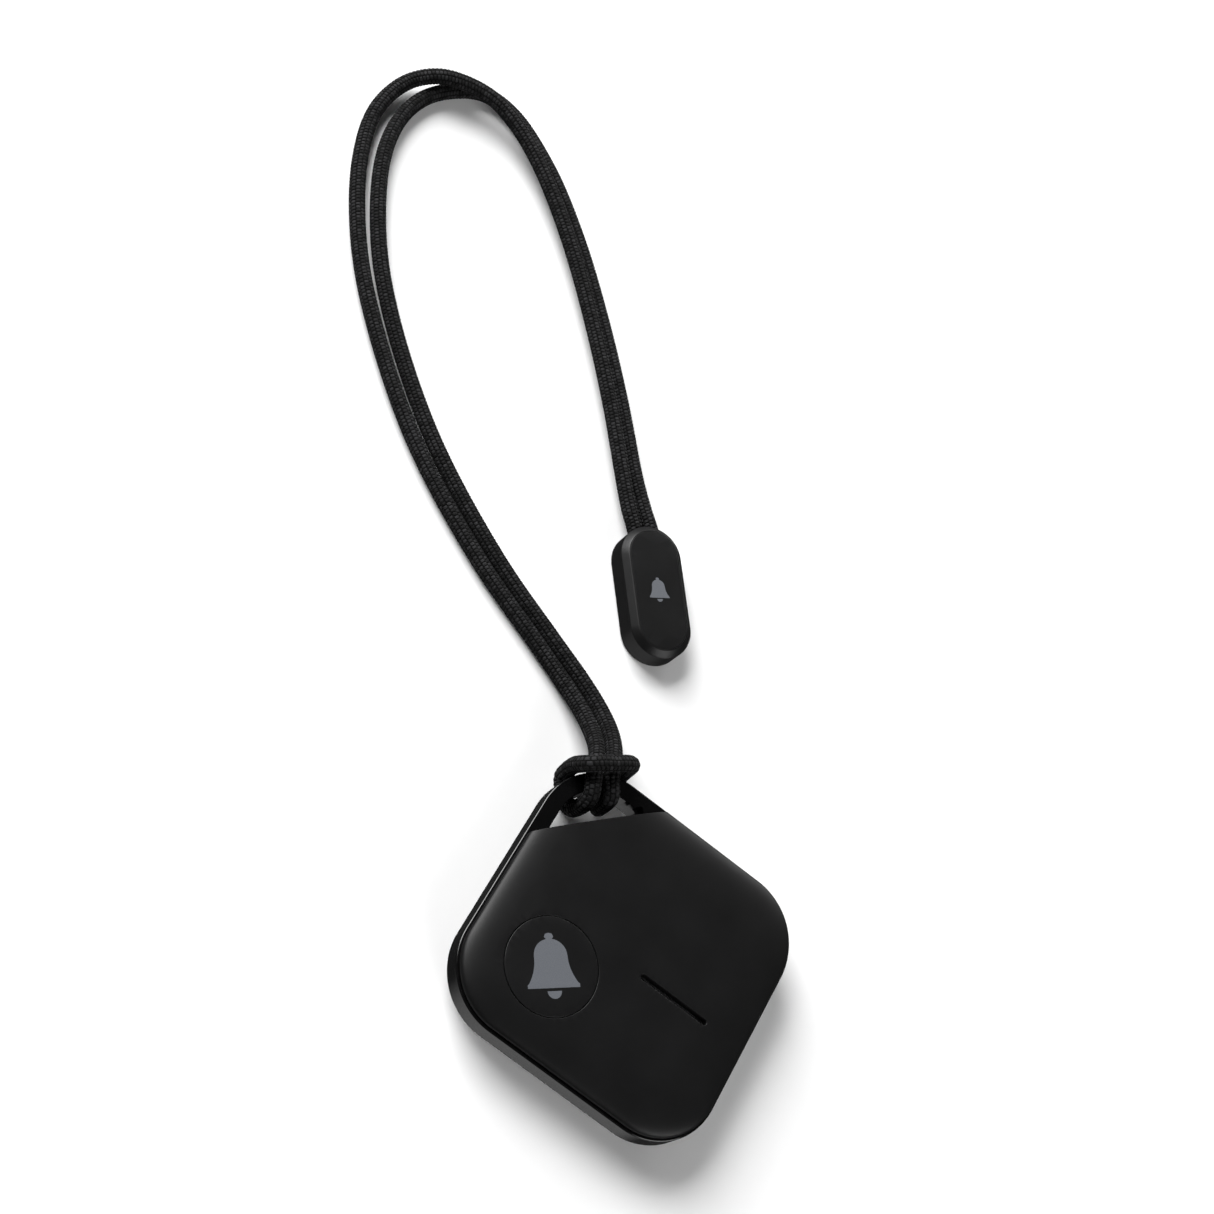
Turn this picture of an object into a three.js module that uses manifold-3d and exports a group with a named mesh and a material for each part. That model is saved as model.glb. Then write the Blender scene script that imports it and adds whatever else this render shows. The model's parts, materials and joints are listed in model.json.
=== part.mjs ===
// A square bluetooth tracker tag, lying on its back, with a woven hand cord hitched on its corner eye.
// Millimetres, +Z up out of the front face. The origin is on the resting surface, under the tag's centre.
import * as THREE from 'three';
import { mergeVertices } from 'three/addons/utils/BufferGeometryUtils.js';
import Module from 'manifold-3d';

const wasm = await Module();
wasm.setup();

// Overall sizes
const TAG_SIDE = 39;
const CORNER_RADIUS = 9.2;
const FRAME_BASE = 2.5; // the frame's underside above the surface, which lets the cord pass under
const EYE_DEPTH = 6.5; // from the outer corner to the cover's cut edge, along the diagonal
const EYE_BAR = 2.4; // width of the bar around the eye
const EYE_TIP_RADIUS = 1.5;
const EYE_WALL = 1.4; // between the eye and the inside

// Walls and seams
const FRAME_WALL = 1.6;
const RIM_EASE = 0.22;
const FOOT_EASE = 0.35;
const COVER_INSET = 0.4;
const COVER_CUT_INSET = 0.2;
const COVER_THICKNESS = 1;
const COVER_EDGE = 0.6; // upright side of the cover above the rim
const CROWN_RISE = 1.4;
const CROWN_RUN = 7;
const SEAM = 0.15;
const SPIGOT_CLEARANCE = 0.2;
const SPIGOT_WALL = 0.8;
const SPIGOT_DEPTH = 1.3;
const TRAY_INSET = 1.4;
const TRAY_CUT_INSET = 1;
const TRAY_FLOOR = 1;
const TRAY_SEAM = 0.3;
const TRAY_EASE = 0.8;
const GASKET_THICKNESS = 0.4;
const GASKET_CLEARANCE = 0.05;
const NOTCH_LENGTH = 2.6; // prying notch beside the eye
const NOTCH_WIDTH = 1.2;
const NOTCH_DEPTH = 0.8;
const SEAT = 0.05; // clearance under a piece that rests on another

// Board and cell
const POST_RADIUS = 1;
const POST_HEIGHT = 0.3;
const BOARD_THICKNESS = 0.8;
const BOARD_CLEARANCE = 0.3;
const CONTACT_LIFT = 0.4; // from the board to the cell
const CELL_DIAMETER = 20;
const CELL_THICKNESS = 3.2;
const CELL_EDGE = 0.3;
const CELL_CAP_SETBACK = 1.1; // of the smaller lower cap from the rim
const CELL_CLEARANCE = 0.25;
const CRADLE_WALL = 0.8;
const CRADLE_HEIGHT = 2.7;
const CONTACT_SHEET = 0.2;
const CONTACT_WIDTH = 2.4;
const CONTACT_FOOT = 2;
const CONTACT_TURN = Math.PI * 1.25; // the side contact stands towards the button
const CONTACT_CLEARANCE = 0.5;

// Sounder and slot
const CELL_HEADROOM = 0.3;
const CERAMIC_THICKNESS = 0.15;
const CERAMIC_DIAMETER = 9.6;
const PLATE_THICKNESS = 0.2;
const PLATE_DIAMETER = 13.4;
const SPACER_THICKNESS = 0.3;
const SPACER_WALL = 0.8;
const MESH_THICKNESS = 0.15;
const MESH_MARGIN = 0.5;
const LEAF_FOOT = 1.8;
const LEAF_REACH = 2.2;
const LEAF_WIDTH = 1.2;
const LEAF_GAP = 0.1;
const CERAMIC_CONTACT = [0.6, -3.9]; // from the slot's centre to each leaf
const PLATE_CONTACT = [4.3, -3.7];
const SLOT_LENGTH = 10.5;
const SLOT_WIDTH = 0.8;
const SLOT_PLACE = [7.55, -2.4];

// Button and switch
const BUTTON_DIAMETER = 12.8;
const BUTTON_SIDE_MARGIN = 4.9; // from the tag's left side to the button
const BUTTON_FOOT_MARGIN = 4.5;
const BUTTON_GAP = 0.15;
const BUTTON_TRAVEL = 0.3;
const FLANGE_OVERHANG = 0.25;
const FLANGE_THICKNESS = 0.25;
const FLANGE_DROP = 0.2; // below the cover's ceiling
const STEM_RADIUS = 1.5;
const STEM_GAP = 0.3;
const STEM_CLEARANCE = 0.3;
const SEAL_WALL = 0.35;
const SEAL_WEB = 0.2;
const SWITCH_SIDE = 4.5;
const SWITCH_HEIGHT = 1.6;
const PLUNGER_RADIUS = 1.2;
const PLUNGER_LENGTH = 1.05;
const PLUNGER_PROUD = 0.5;
const PLUNGER_CLEARANCE = 0.2;

// Cord and its end bead
const CORD_DIAMETER = 2.2;
const CORD_SIDES = 8;
const CORD_SPACING = 2.36; // between the two cord ends in the bead
const BEAD_PLACE = [-21.05, 46.82];
const BEAD_TURN = 38;
const BEAD_LENGTH = 19.2;
const BEAD_WIDTH = 9.15;
const BEAD_HEIGHT = 4.3;
const BEAD_CHAMFER = 0.85;
const BEAD_FOOT_CHAMFER = 0.35;
const BEAD_FLOOR = 0.5;
const BEAD_WALL = 1.3;
const BEAD_FACE_THICKNESS = 0.6;
const BEAD_LIP = 0.1;
const BEAD_FACE_GAP = 0.15;
const BEAD_CORD_HEIGHT = 2;
const BORE_CLEARANCE = 0.3;
const CRIMP_LENGTH = 5.2;
const CRIMP_SHEET = 0.2;
const CRIMP_CLEARANCE = 0.15;
const CRIMP_SETBACK = 3.4; // from the bead's end

// The cord's centreline, from one end in the bead, round the loop, through the hitch on the eye and back.
const CORD_ROUTE = [
  [-23.1, 47.5, 2], [-27.9, 53.7, 2], [-30.2, 55.9, 2], [-40.9, 68.3, 2.05], [-49.4, 77.2, 2.15],
  [-58.7, 85.8, 2.3], [-67.7, 92.4, 2.6], [-73.8, 95.3, 3], [-79, 96.2, 3.5], [-83.8, 95.2, 3.55],
  [-87.5, 93.2, 3.2], [-90.3, 90, 1.8], [-91.2, 83.4, 1.15], [-88.5, 74.7, 1.15], [-81.8, 63.9, 1.15],
  [-73.6, 55, 1.15], [-59.6, 43.8, 1.15], [-43.3, 35.1, 1.15], [-31.1, 30.5, 1.15], [-25, 28.1, 1.25],
  [-21.3, 25.9, 2.2], [-18.61, 23.2, 3.9], [-17.12, 20.45, 5.75], [-16.31, 17.58, 7],
  [-15.64, 15.71, 7.2], [-14.98, 14.42, 7], [-14.72, 13.78, 6.1], [-14.68, 13.5, 4.9],
  [-14.78, 13.38, 3.5], [-15.12, 13.38, 2.05], [-15.85, 13.9, 1.25], [-16.9, 14.9, 1.15],
  [-17.5, 15.55, 1.17], [-18.27, 16.5, 1.58], [-18.48, 16.98, 3.3], [-18.5, 16.9, 5.4],
  [-18.35, 16.45, 7.5], [-17.62, 16.47, 9.2], [-16.5, 17.25, 9.65], [-15, 18.4, 9.6], [-13.5, 19.75, 9.1],
  [-12.5, 20.9, 7.4], [-12.2, 21.2, 5.4], [-12.1, 21.1, 3.5], [-11.95, 20.5, 1.95], [-11.85, 19.5, 1.25],
  [-11.85, 18.4, 1.15], [-11.98, 17.1, 1.2], [-12.12, 15.95, 1.75], [-12.3, 15.4, 3.3],
  [-12.35, 15.36, 5.1], [-12.6, 15.75, 6.8], [-13.76, 17.44, 7.22], [-14.4, 19.35, 7],
  [-15.18, 22.04, 5.75], [-16.66, 25.01, 3.9], [-19.1, 27.7, 2.2], [-23.1, 30.1, 1.25],
  [-29.3, 32.4, 1.15], [-41.4, 37, 1.15],
  [-57.6, 45.7, 1.15], [-71.6, 56.9, 1.15], [-79.7, 66, 1.15], [-86.1, 77.2, 1.15], [-87.8, 84.7, 1.15],
  [-87, 90.4, 1.15], [-84.3, 94.9, 1.15], [-80.7, 97.8, 1.15], [-75.7, 98.1, 1.15], [-67, 94.4, 1.15],
  [-57.7, 87.7, 1.15], [-48.3, 79.1, 1.15], [-39.6, 70.1, 1.15], [-31.5, 60.9, 1.2], [-28.1, 57.2, 1.7],
  [-26, 55.1, 2], [-21.2, 49, 2],
];

// Heights, stacked from the resting surface up through the tray, board, cell and sounder to the crown
const half = TAG_SIDE / 2;
const trayTop = FRAME_BASE - TRAY_SEAM;
const boardBottom = TRAY_FLOOR + POST_HEIGHT;
const boardTop = boardBottom + BOARD_THICKNESS;
const cellBottom = boardTop + CONTACT_LIFT;
const cellTop = cellBottom + CELL_THICKNESS;
const ceramicBottom = cellTop + CELL_HEADROOM;
const plateBottom = ceramicBottom + CERAMIC_THICKNESS + SEAT;
const spacerBottom = plateBottom + PLATE_THICKNESS + SEAT;
const ceiling = spacerBottom + SPACER_THICKNESS + SEAT;
const crownTop = ceiling + COVER_THICKNESS;
const rimTop = crownTop - CROWN_RISE - COVER_EDGE;
const spigotBottom = rimTop - SPIGOT_DEPTH;
const gasketTop = spigotBottom - GASKET_CLEARANCE;
const gasketBottom = gasketTop - GASKET_THICKNESS;

// Places in plan
const spigotInset = FRAME_WALL + SPIGOT_CLEARANCE;
const spigotCutInset = EYE_WALL + SPIGOT_CLEARANCE;
const hollowInset = spigotInset + SPIGOT_WALL;
const hollowCutInset = spigotCutInset + SPIGOT_WALL;
const boardInset = hollowInset + BOARD_CLEARANCE;
const boardCutInset = hollowCutInset + BOARD_CLEARANCE;
const boardEdge = half - boardInset;
const cornerReach = half * Math.SQRT2 - (Math.SQRT2 - 1) * CORNER_RADIUS;
const cutReach = cornerReach - EYE_DEPTH; // from the centre to the cut edge
const cradleRadius = CELL_DIAMETER / 2 + CELL_CLEARANCE + CRADLE_WALL;
const cellPlace = boardEdge - SEAT - cradleRadius;
const buttonX = BUTTON_SIDE_MARGIN + BUTTON_DIAMETER / 2 - half;
const buttonY = BUTTON_FOOT_MARGIN + BUTTON_DIAMETER / 2 - half;
const flangeTop = ceiling - FLANGE_DROP;
const flangeBottom = flangeTop - FLANGE_THICKNESS;
const sealTop = flangeBottom - BUTTON_TRAVEL - SEAT;
const plungerTop = boardTop + SEAT + SWITCH_HEIGHT + PLUNGER_PROUD;

// Materials
function finish(color, roughness, metalness) {
  return new THREE.MeshStandardMaterial({ color, roughness, metalness });
}

const mattePlastic = finish(0x232325, 0.5, 0);
const glossPlastic = finish(0x161618, 0.1, 0);
const trayPlastic = finish(0x1d1d1f, 0.6, 0);
const beadPlastic = finish(0x212123, 0.45, 0);
const wovenCord = finish(0x1a1a1c, 0.9, 0);
const rubber = finish(0x2b2b2d, 0.8, 0);
const meshCloth = finish(0x0c0c0d, 0.8, 0);
const boardLaminate = finish(0x12351f, 0.5, 0);
const chipPlastic = finish(0x1b1b1d, 0.5, 0);
const ceramic = finish(0xd8d2c4, 0.5, 0);
const brass = finish(0xc39a4a, 0.3, 1);
const steel = finish(0xb9bcc0, 0.3, 1);
const cradlePlastic = finish(0x2e2e30, 0.6, 0);

const ARC_STEPS = 10;
const ROUND_STEPS = 40;
const CROWN_STEPS = 8;
const EASE_STEPS = 2;
const WORK_SPAN = 400;

function toSolid(geometry) {
  const bare = geometry.clone();
  bare.deleteAttribute('normal');
  bare.deleteAttribute('uv');
  const merged = mergeVertices(bare);
  return new wasm.Manifold(new wasm.Mesh({
    numProp: 3,
    vertProperties: new Float32Array(merged.attributes.position.array),
    triVerts: new Uint32Array(merged.index.array),
  }));
}

function toGeometry(solid) {
  const mesh = solid.getMesh();
  const geometry = new THREE.BufferGeometry();
  geometry.setAttribute('position', new THREE.BufferAttribute(new Float32Array(mesh.vertProperties), 3));
  geometry.setIndex(new THREE.BufferAttribute(new Uint32Array(mesh.triVerts), 1));
  geometry.computeVertexNormals();
  return geometry;
}

function named(name, geometry, material) {
  const mesh = new THREE.Mesh(geometry, material);
  mesh.name = name;
  return mesh;
}

// Outlines

function roundedSquare(inset) {
  const side = half - inset;
  const radius = CORNER_RADIUS - inset;
  const centre = side - radius;
  const shape = new THREE.Shape();
  shape.absarc(-centre, -centre, radius, Math.PI, 1.5 * Math.PI);
  shape.absarc(centre, -centre, radius, 1.5 * Math.PI, 2 * Math.PI);
  shape.absarc(centre, centre, radius, 0, 0.5 * Math.PI);
  shape.absarc(-centre, centre, radius, 0.5 * Math.PI, Math.PI);
  return shape;
}

// The rounded square with the eye's corner cut off square to the diagonal.
function cutSquare(inset, cutInset) {
  const side = half - inset;
  const radius = CORNER_RADIUS - inset;
  const centre = side - radius;
  const reach = (cutReach - cutInset) * Math.SQRT2 - side;
  const shape = new THREE.Shape();
  shape.absarc(-centre, -centre, radius, Math.PI, 1.5 * Math.PI);
  shape.absarc(centre, -centre, radius, 1.5 * Math.PI, 2 * Math.PI);
  shape.absarc(centre, centre, radius, 0, 0.5 * Math.PI);
  shape.lineTo(-reach, side);
  shape.lineTo(-side, reach);
  return shape;
}

function eyeOutline() {
  const wall = half - EYE_BAR;
  const radius = CORNER_RADIUS - EYE_BAR;
  const tip = wall - cutReach * Math.SQRT2;
  const shape = new THREE.Shape();
  shape.moveTo(-wall, -tip);
  shape.lineTo(tip - EYE_TIP_RADIUS, wall - EYE_TIP_RADIUS);
  shape.quadraticCurveTo(tip, wall, tip - 1.5 * EYE_TIP_RADIUS, wall);
  shape.absarc(radius - wall, wall - radius, radius, 0.5 * Math.PI, Math.PI);
  return shape;
}

function stadium(width, length) {
  const radius = width / 2;
  const run = length / 2 - radius;
  const shape = new THREE.Shape();
  shape.absarc(0, run, radius, 0, Math.PI);
  shape.absarc(0, -run, radius, Math.PI, 2 * Math.PI);
  return shape;
}

// Solids from outlines

function prism(shape, bottom, top) {
  const geometry = new THREE.ExtrudeGeometry(shape, {
    depth: top - bottom,
    bevelEnabled: false,
    curveSegments: ARC_STEPS,
  });
  return toSolid(geometry.translate(0, 0, bottom));
}

// A prism whose bottom and top edges are both rounded: rise is the round's height, run its width.
function easedPrism(shape, bottom, top, rise, run, steps) {
  const geometry = new THREE.ExtrudeGeometry(shape, {
    depth: top - bottom - 2 * rise,
    bevelThickness: rise,
    bevelSize: run,
    bevelOffset: -run,
    bevelSegments: steps,
    curveSegments: ARC_STEPS,
  });
  return toSolid(geometry.translate(0, 0, bottom + rise));
}

function slab(bottom, top) {
  const geometry = new THREE.BoxGeometry(WORK_SPAN, WORK_SPAN, top - bottom);
  return toSolid(geometry.translate(0, 0, (bottom + top) / 2));
}

function block(width, depth, height, x, y, z) {
  return toSolid(new THREE.BoxGeometry(width, depth, height).translate(x, y, z + height / 2));
}

function post(radius, bottom, top, x, y, sides = ROUND_STEPS) {
  const geometry = new THREE.CylinderGeometry(radius, radius, top - bottom, sides);
  return toSolid(geometry.rotateX(Math.PI / 2).translate(x, y, (bottom + top) / 2));
}

// A profile of radius and height, turned about the vertical.
function turned(profile) {
  const points = profile.map(([radius, z]) => new THREE.Vector2(radius, z));
  return new THREE.LatheGeometry(points, ROUND_STEPS).rotateX(Math.PI / 2);
}

function ring(outer, inner, height) {
  return turned([[inner, 0], [outer, 0], [outer, height], [inner, height], [inner, 0]]);
}

// The crowned outer form that the cover and the button are both cut from, with the eye's corner cut off.
function crown(bottom) {
  const shape = roundedSquare(COVER_INSET);
  const form = easedPrism(shape, bottom - 2 * CROWN_RISE, crownTop, CROWN_RISE, CROWN_RUN, CROWN_STEPS);
  return form.intersect(prism(cutSquare(COVER_INSET, COVER_CUT_INSET), bottom, crownTop + 1));
}

// Housing

function midFrame() {
  const band = easedPrism(roundedSquare(0), FRAME_BASE - FOOT_EASE, rimTop, RIM_EASE, RIM_EASE, EASE_STEPS);
  const foot = easedPrism(roundedSquare(0), FRAME_BASE, rimTop + 1, FOOT_EASE, FOOT_EASE, EASE_STEPS);
  const inside = prism(cutSquare(FRAME_WALL, EYE_WALL), 0, crownTop);
  const eye = prism(eyeOutline(), 0, crownTop);
  const notch = block(NOTCH_LENGTH, NOTCH_WIDTH, 2 * NOTCH_DEPTH, 0, 0, rimTop - NOTCH_DEPTH);
  const tip = half - EYE_BAR;
  const notchX = tip - cutReach * Math.SQRT2 - NOTCH_LENGTH / 2;
  const recess = notch.rotate([0, 0, 45]).translate([notchX, tip - NOTCH_WIDTH / 2, 0]);
  const solid = band.intersect(foot).subtract(inside).subtract(eye).subtract(recess);
  return named('mid_frame', toGeometry(solid), glossPlastic);
}

function frontCover() {
  const plate = crown(rimTop + SEAM);
  const spigot = prism(cutSquare(spigotInset, spigotCutInset), spigotBottom, rimTop + SEAM + SEAT);
  const hollow = prism(cutSquare(hollowInset, hollowCutInset), spigotBottom - 1, ceiling);
  const hole = post(BUTTON_DIAMETER / 2, 0, crownTop + 1, buttonX, buttonY);
  const slotForm = prism(stadium(SLOT_WIDTH, SLOT_LENGTH), ceiling - 1, crownTop + 1);
  const slot = slotForm.rotate([0, 0, 90]).translate([...SLOT_PLACE, 0]);
  const solid = plate.add(spigot).subtract(hollow).subtract(hole).subtract(slot);
  return named('front_cover', toGeometry(solid), mattePlastic);
}

function backCover() {
  const plan = cutSquare(TRAY_INSET, TRAY_CUT_INSET);
  const base = easedPrism(plan, 0, trayTop + 2 * TRAY_EASE, TRAY_EASE, TRAY_EASE, EASE_STEPS);
  const wall = prism(cutSquare(spigotInset, spigotCutInset), TRAY_FLOOR, gasketBottom - GASKET_CLEARANCE);
  const hollow = prism(cutSquare(hollowInset, hollowCutInset), TRAY_FLOOR, rimTop);
  let solid = base.intersect(slab(-1, trayTop)).add(wall).subtract(hollow);
  const spread = half - CORNER_RADIUS;
  for (const [x, y] of [[-spread, -spread], [spread, -spread], [spread, spread], [-spread, 0]]) {
    solid = solid.add(post(POST_RADIUS, TRAY_FLOOR - SEAT, boardBottom - SEAT, x, y, ARC_STEPS));
  }
  return named('back_cover', toGeometry(solid), trayPlastic);
}

function coverGasket() {
  const outer = prism(cutSquare(spigotInset, spigotCutInset), gasketBottom, gasketTop);
  const inner = prism(cutSquare(hollowInset, hollowCutInset), gasketBottom - 1, gasketTop + 1);
  return named('cover_gasket', toGeometry(outer.subtract(inner)), rubber);
}

// Button

function buttonCap() {
  const core = post(BUTTON_DIAMETER / 2 - BUTTON_GAP, 0, crownTop + 1, buttonX, buttonY);
  const cap = crown(flangeTop - SEAT).intersect(core);
  const flange = post(BUTTON_DIAMETER / 2 + FLANGE_OVERHANG, flangeBottom, flangeTop, buttonX, buttonY);
  const stem = post(STEM_RADIUS, plungerTop + STEM_GAP, flangeTop, buttonX, buttonY, ROUND_STEPS / 2);
  return named('button_cap', toGeometry(cap.add(flange).add(stem)), mattePlastic);
}

function buttonSeal() {
  const inner = BUTTON_DIAMETER / 2 + FLANGE_OVERHANG + SEAT;
  const outer = inner + SEAL_WALL;
  const hole = STEM_RADIUS + STEM_CLEARANCE;
  const height = ceiling - SEAT - sealTop + SEAL_WEB;
  const web = SEAL_WEB;
  const dish = [
    [hole, 0], [outer, 0], [outer, height], [inner, height], [inner, web], [hole, web], [hole, 0],
  ];
  const mesh = named('button_seal', turned(dish), rubber);
  mesh.position.set(buttonX, buttonY, sealTop - SEAL_WEB);
  return mesh;
}

function switchBody() {
  const body = block(SWITCH_SIDE, SWITCH_SIDE, SWITCH_HEIGHT, 0, 0, 0);
  const well = SWITCH_HEIGHT + PLUNGER_PROUD - PLUNGER_LENGTH - BUTTON_TRAVEL - SEAT;
  const bush = post(PLUNGER_RADIUS + PLUNGER_CLEARANCE, well, SWITCH_HEIGHT + 1, 0, 0, ROUND_STEPS / 2);
  const solid = body.subtract(bush);
  const mesh = named('switch_body', toGeometry(solid), chipPlastic);
  mesh.position.set(buttonX, buttonY, boardTop + SEAT);
  return mesh;
}

function switchPlunger() {
  const radius = PLUNGER_RADIUS;
  const geometry = new THREE.CylinderGeometry(radius, radius, PLUNGER_LENGTH, ROUND_STEPS / 2);
  const mesh = named('switch_plunger', geometry.rotateX(Math.PI / 2), cradlePlastic);
  mesh.position.set(buttonX, buttonY, plungerTop - PLUNGER_LENGTH / 2);
  return mesh;
}

// Sounder

function soundMesh() {
  const margin = 2 * MESH_MARGIN;
  const geometry = new THREE.BoxGeometry(SLOT_LENGTH + margin, SLOT_WIDTH + margin, MESH_THICKNESS);
  const mesh = named('sound_mesh', geometry, meshCloth);
  mesh.position.set(...SLOT_PLACE, ceiling - SEAT - MESH_THICKNESS / 2);
  return mesh;
}

function disc(name, diameter, thickness, bottom, material) {
  const geometry = new THREE.CylinderGeometry(diameter / 2, diameter / 2, thickness, ROUND_STEPS);
  const mesh = named(name, geometry.rotateX(Math.PI / 2), material);
  mesh.position.set(...SLOT_PLACE, bottom + thickness / 2);
  return mesh;
}

function piezoSpacer() {
  const geometry = ring(PLATE_DIAMETER / 2, PLATE_DIAMETER / 2 - SPACER_WALL, SPACER_THICKNESS);
  const mesh = named('piezo_spacer', geometry, rubber);
  mesh.position.set(...SLOT_PLACE, spacerBottom);
  return mesh;
}

// A bent leaf that stands on the board and reaches up to one face of the sounder.
function piezoContact(name, [offsetX, offsetY], top) {
  const sheet = CONTACT_SHEET;
  const height = top - boardTop - SEAT - LEAF_GAP;
  const lean = LEAF_REACH / 2;
  const leaf = new THREE.Shape();
  leaf.moveTo(0, 0);
  for (const [x, z] of [
    [LEAF_FOOT, 0], [LEAF_FOOT, sheet], [2 * sheet, sheet], [lean + sheet, height - sheet],
    [LEAF_REACH, height - sheet], [LEAF_REACH, height], [lean, height], [0, sheet],
  ]) {
    leaf.lineTo(x, z);
  }
  const geometry = new THREE.ExtrudeGeometry(leaf, { depth: LEAF_WIDTH, bevelEnabled: false });
  const mesh = named(name, geometry.rotateX(Math.PI / 2).translate(-lean, LEAF_WIDTH / 2, 0), steel);
  mesh.position.set(SLOT_PLACE[0] + offsetX, SLOT_PLACE[1] + offsetY, boardTop + SEAT);
  return mesh;
}

// Board and what stands on it

function circuitBoard() {
  const solid = prism(cutSquare(boardInset, boardCutInset), boardBottom, boardTop);
  return named('circuit_board', toGeometry(solid), boardLaminate);
}

// Each part's size, and its place from the board's straight edges.
function boardParts() {
  const parts = [
    ['radio_chip', [5, 5, 0.85], [5 - boardEdge, 2.4], chipPlastic],
    ['clock_crystal', [2.5, 2, 0.6], [4.2 - boardEdge, -1.8], steel],
    ['crystal_capacitor', [1, 0.5, 0.5], [7.8 - boardEdge, -1.4], ceramic],
    ['supply_inductor', [2, 1.6, 0.9], [-5, 2.4 - boardEdge], chipPlastic],
    ['supply_capacitor', [3.2, 1.6, 1.4], [-0.6, 3 - boardEdge], ceramic],
    ['chip_antenna', [5.2, 1.6, 1], [boardEdge - 7.2, 2 - boardEdge], ceramic],
    ['antenna_capacitor_1', [1, 0.5, 0.5], [boardEdge - 12.2, 2.4 - boardEdge], ceramic],
    ['antenna_capacitor_2', [1, 0.5, 0.5], [boardEdge - 12.2, 1.4 - boardEdge], ceramic],
  ];
  return parts.map(([name, size, [x, y], material]) => {
    const mesh = named(name, new THREE.BoxGeometry(...size), material);
    mesh.position.set(x, y, boardTop + SEAT + size[2] / 2);
    return mesh;
  });
}

function coinCell() {
  const radius = CELL_DIAMETER / 2;
  const lower = radius - CELL_CAP_SETBACK;
  const step = CELL_EDGE;
  const profile = [
    [0, 0], [lower, 0], [lower, step], [radius - step, step], [radius, 2 * step],
    [radius, CELL_THICKNESS - step], [radius - step, CELL_THICKNESS], [0, CELL_THICKNESS],
  ];
  const mesh = named('coin_cell', turned(profile), steel);
  mesh.position.set(cellPlace, cellPlace, cellBottom);
  return mesh;
}

// The ring that locates the cell, open where the side contact stands.
function cellCradle() {
  const inner = CELL_DIAMETER / 2 + CELL_CLEARANCE;
  const opening = CONTACT_WIDTH + 2 * CONTACT_CLEARANCE;
  const window = block(4 * CRADLE_WALL, opening, CRADLE_HEIGHT + 2, inner, 0, -1);
  const solid = toSolid(ring(inner + CRADLE_WALL, inner, CRADLE_HEIGHT)).subtract(window);
  const mesh = named('cell_cradle', toGeometry(solid), cradlePlastic);
  mesh.rotation.z = CONTACT_TURN;
  mesh.position.set(cellPlace, cellPlace, boardTop + SEAT);
  return mesh;
}

function sideContact() {
  const sheet = CONTACT_SHEET;
  const height = CRADLE_HEIGHT;
  const bracket = new THREE.Shape();
  bracket.moveTo(0, 0);
  const foot = CONTACT_FOOT;
  for (const [x, z] of [[foot, 0], [foot, sheet], [sheet, sheet], [sheet, height], [0, height]]) {
    bracket.lineTo(x, z);
  }
  const geometry = new THREE.ExtrudeGeometry(bracket, { depth: CONTACT_WIDTH, bevelEnabled: false });
  const mesh = named('cell_contact_positive', geometry.rotateX(Math.PI / 2), steel);
  mesh.position.set(CELL_DIAMETER / 2 + CELL_CLEARANCE, CONTACT_WIDTH / 2, 0);
  const group = new THREE.Group();
  group.rotation.z = CONTACT_TURN;
  group.position.set(cellPlace, cellPlace, boardTop + SEAT);
  group.add(mesh);
  return group;
}

function bottomContact() {
  const arm = CELL_DIAMETER / 4;
  const side = CONTACT_WIDTH / 2;
  const cross = new THREE.Shape();
  cross.moveTo(-side, -arm);
  for (const [x, y] of [
    [side, -arm], [side, -side], [arm, -side], [arm, side], [side, side], [side, arm], [-side, arm],
    [-side, side], [-arm, side], [-arm, -side], [-side, -side],
  ]) {
    cross.lineTo(x, y);
  }
  const geometry = new THREE.ExtrudeGeometry(cross, { depth: CONTACT_SHEET, bevelEnabled: false });
  const mesh = named('cell_contact_negative', geometry, brass);
  mesh.position.set(cellPlace, cellPlace, boardTop + SEAT);
  return mesh;
}

// Cord and bead

// A smooth line through the route's points, stepped point by point, so its steps are short in the hitch.
class CordLine extends THREE.CatmullRomCurve3 {
  getUtoTmapping(u) {
    return u;
  }
}

function lanyardCord() {
  const section = new THREE.Shape();
  for (let side = 0; side < CORD_SIDES; side += 1) {
    const angle = (side * 2 * Math.PI) / CORD_SIDES;
    const point = [Math.cos(angle) * CORD_DIAMETER / 2, Math.sin(angle) * CORD_DIAMETER / 2];
    if (side === 0) section.moveTo(...point);
    else section.lineTo(...point);
  }
  const line = new CordLine(CORD_ROUTE.map((point) => new THREE.Vector3(...point)));
  const geometry = new THREE.ExtrudeGeometry(section, { steps: CORD_ROUTE.length - 1, extrudePath: line });
  return named('lanyard_cord', geometry, wovenCord);
}

function bore(radius, x, fromY, toY, height) {
  const geometry = new THREE.CylinderGeometry(radius, radius, toY - fromY, ROUND_STEPS / 2);
  return toSolid(geometry.translate(x, (fromY + toY) / 2, height));
}

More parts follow.
